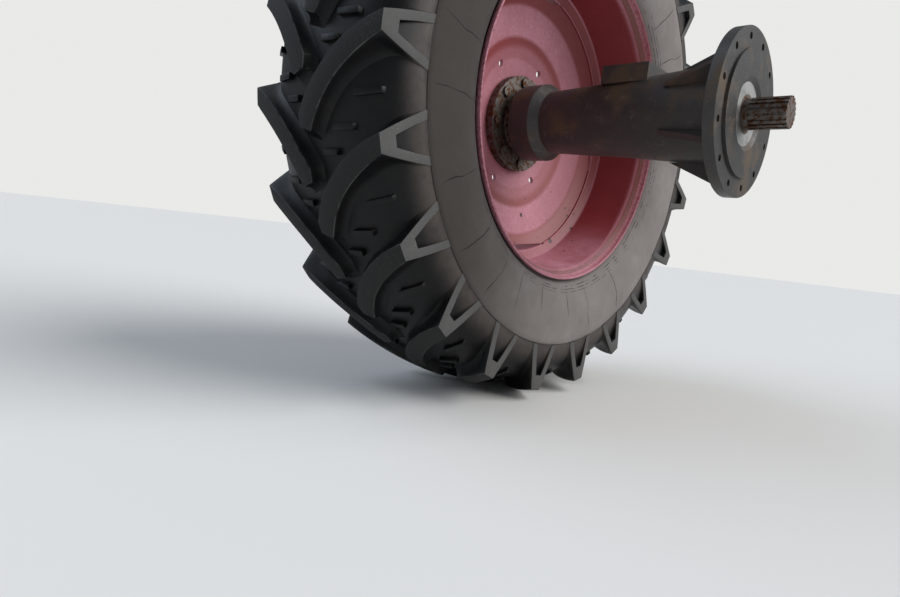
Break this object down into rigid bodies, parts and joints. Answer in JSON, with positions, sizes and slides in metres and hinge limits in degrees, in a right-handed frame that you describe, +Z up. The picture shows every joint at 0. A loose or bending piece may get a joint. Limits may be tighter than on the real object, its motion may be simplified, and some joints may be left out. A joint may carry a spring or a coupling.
{
  "type": "tractor rear wheel on half axle",
  "caption": "Rear wheel of a farm tractor: bar-lug tyre on a drop-centre rim and dished disc, turning on a half shaft in a cast axle housing that bolts to the gear casing",
  "frame": {"origin": "on the axle's centre line, in the face of the housing that bolts to the gear casing", "axes": "+X the way the tractor drives, +Y inboard along the axle, +Z up"},
  "size_m": [1.3632, 0.816, 1.3644],
  "materials": {
    "cast_iron": "oily black paint over a rough casting",
    "bearing_steel": "ground steel",
    "plain_steel": "dull steel with a little rust",
    "red_paint": "faded chalky red paint, chipped",
    "tyre_rubber": "weathered rubber, dusty on the sidewall",
    "valve_rubber": "black rubber",
    "black_plastic": "moulded cap"
  },
  "bodies": {
    "axle": {"axle_housing": "cast_iron", "inner_bearing": "bearing_steel", "outer_bearing": "bearing_steel", "seal_retainer": "cast_iron", "retainer_bolts": "plain_steel"},
    "wheel": {"half_shaft": "plain_steel", "wheel_studs": "plain_steel", "wheel_nuts": "plain_steel", "wheel_disc": "red_paint", "rim": "red_paint", "tyre": "tyre_rubber", "valve_stem": "valve_rubber", "valve_nut": "plain_steel", "valve_cap": "black_plastic"}
  },
  "joints": [
    {"name": "wheel_spin", "type": "hinge", "parent": "axle", "child": "wheel", "pos_m": [0, 0, 0], "axis": [0, 1, 0], "continuous": true}
  ]
}
